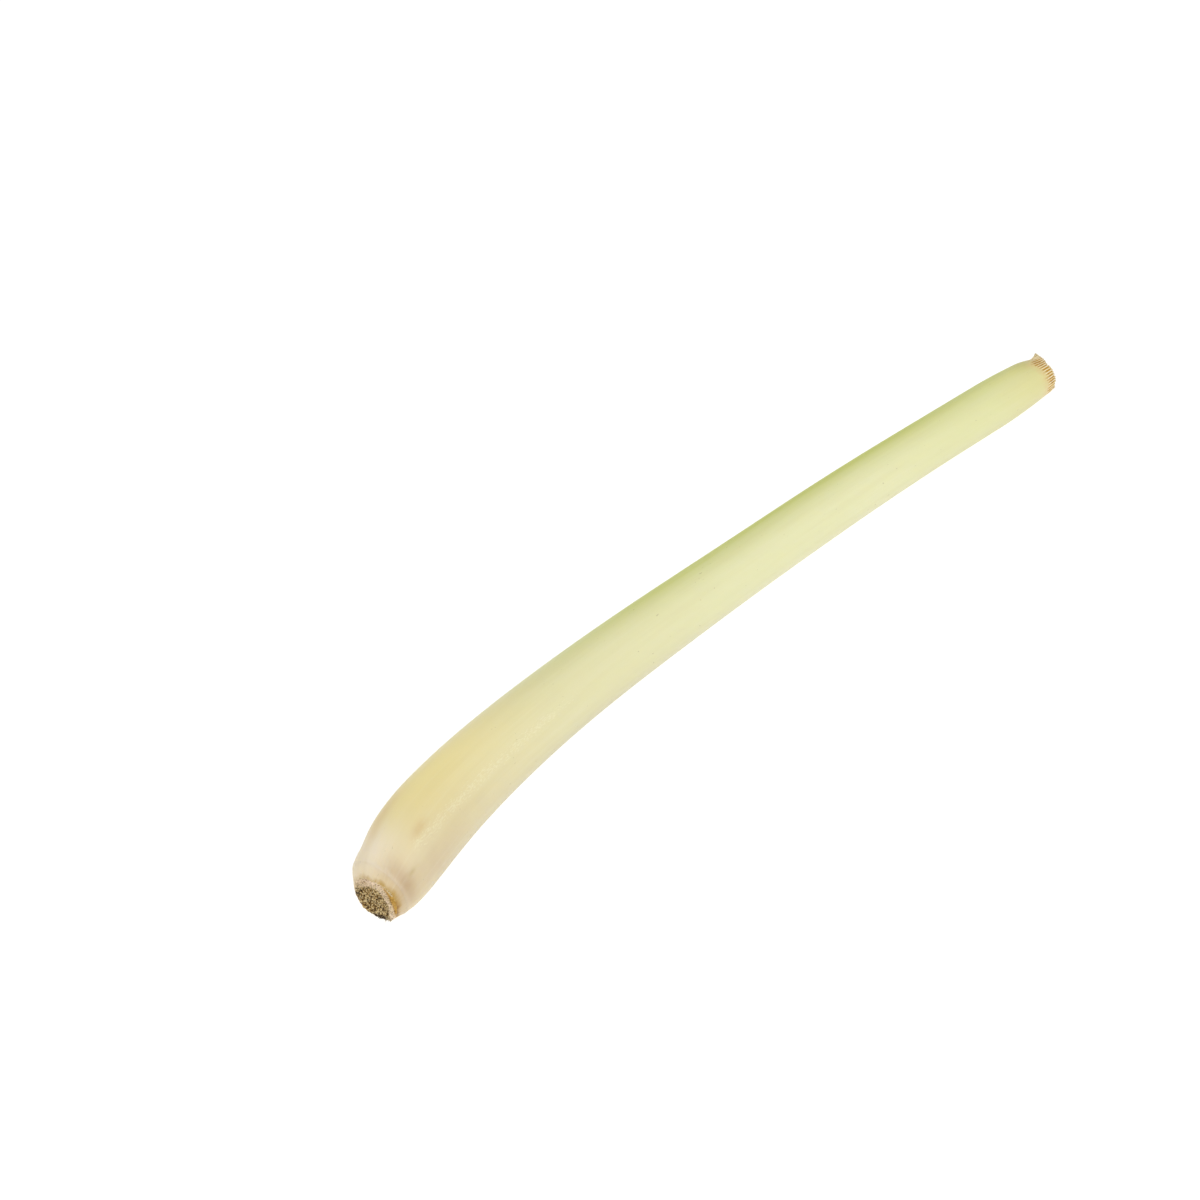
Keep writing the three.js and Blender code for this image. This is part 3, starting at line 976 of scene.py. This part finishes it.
CAMERA_AIM = Vector((-0.01391, 0.02369, 0.0))
CAMERA_DISTANCE = 0.63
CAMERA_AZIMUTH = math.radians(-47.09)
CAMERA_ELEVATION = math.radians(45)
FLOOR_HALF = 12.0  # metres, so that a low view sees its edge only near the horizon
FLOOR_DROP = 0.02  # mm under the stalk, whose flats would lie in its plane
FLOOR_GLOW = 0.8
DAYLIGHT = 0.45


def towards(azimuth, elevation):
    """Unit vector from the object to a viewer at that azimuth (0 looks along +Y) and elevation."""
    flat = math.cos(elevation)
    return Vector((math.sin(azimuth) * flat, -math.cos(azimuth) * flat, math.sin(elevation)))


def aim_at(thing, target):
    thing.rotation_euler = (target - thing.location).to_track_quat("-Z", "Y").to_euler()


def make_camera():
    lens = bpy.data.cameras.new("camera")
    lens.lens = 85
    lens.sensor_width = 36
    lens.clip_start = 0.01
    camera = bpy.data.objects.new("camera", lens)
    camera.location = CAMERA_AIM + CAMERA_DISTANCE * towards(CAMERA_AZIMUTH, CAMERA_ELEVATION)
    aim_at(camera, CAMERA_AIM)
    bpy.context.scene.collection.objects.link(camera)
    bpy.context.scene.camera = camera


def make_softbox(name, azimuth, elevation, distance, size, power):
    light = bpy.data.lights.new(name, "AREA")
    light.shape = "SQUARE"
    light.size = size
    light.energy = power
    box = bpy.data.objects.new(name, light)
    box.location = distance * towards(math.radians(azimuth), math.radians(elevation))
    aim_at(box, Vector((0, 0, 0)))
    bpy.context.scene.collection.objects.link(box)


def make_floor():
    """Pale matt light table: it glows a little, so that it stays white right up to the stalk."""
    mesh = bpy.data.meshes.new("floor")
    corners = [(-1, -1), (1, -1), (1, 1), (-1, 1)]
    points = [(x * FLOOR_HALF, y * FLOOR_HALF, -FLOOR_DROP * MM) for x, y in corners]
    mesh.from_pydata(points, [], [(0, 1, 2, 3)])
    floor = bpy.data.objects.new("floor", mesh)
    bpy.context.scene.collection.objects.link(floor)
    material, tree = new_material("pale_studio_floor")
    shader = add(
        tree,
        "ShaderNodeBsdfPrincipled",
        {
            "Base Color": linear("a0a0a0"),
            "Roughness": 0.9,
            "Specular IOR Level": 0.2,
            "Emission Color": (1, 1, 1, 1),
            "Emission Strength": FLOOR_GLOW,
        },
    )
    add(tree, "ShaderNodeOutputMaterial", {0: shader.outputs[0]})
    mesh.materials.append(material)


def make_studio():
    make_camera()
    make_floor()
    make_softbox("key_softbox", azimuth=10, elevation=50, distance=1.0, size=0.6, power=3.65)
    make_softbox("fill_softbox", azimuth=-110, elevation=55, distance=1.2, size=0.8, power=4.3)
    scene = bpy.context.scene
    scene.view_settings.view_transform = "Standard"
    world = bpy.data.worlds.new("studio")
    scene.world = world
    world.use_nodes = True
    sky = world.node_tree.nodes["Background"]
    sky.inputs["Color"].default_value = (1, 1, 1, 1)
    sky.inputs["Strength"].default_value = DAYLIGHT


# ---------------------------------------------------------------- the stalk

make_studio()

# The outermost sheath is satin. The ones inside it are moister, and the heart duller.
outer_skin = waxy_skin("waxy_leaf_sheath", vein_width=0.45, roughness=0.42, glow=0.25)
sheath_piece(0, rows=(18, 110, 36), columns=380, material=outer_skin)
inner_skin = waxy_skin("moist_inner_sheath", vein_width=0.45, roughness=0.38, glow=0.2)
sheath_piece(1, rows=(6, 50, 20), columns=200, material=inner_skin)
sheath_piece(2, rows=(6, 50, 20), columns=170, material=inner_skin)
heart_piece(waxy_skin("rolled_young_leaf", vein_width=0.4, roughness=0.5, glow=0.1))

# The root cut is corky, and the band beside it has living skin.
cork = dry_tissue("corky_root_cut", grain_width=0.2, bump_height=0.12)
band_skin = waxy_skin("cream_internode", vein_width=0.5, roughness=0.45, glow=0.2)
stem_piece([cork, band_skin])

straw = dry_tissue("torn_dry_fibre", grain_width=0.15, bump_height=0.04)
top_fibres(straw)
butt_stubs(straw)
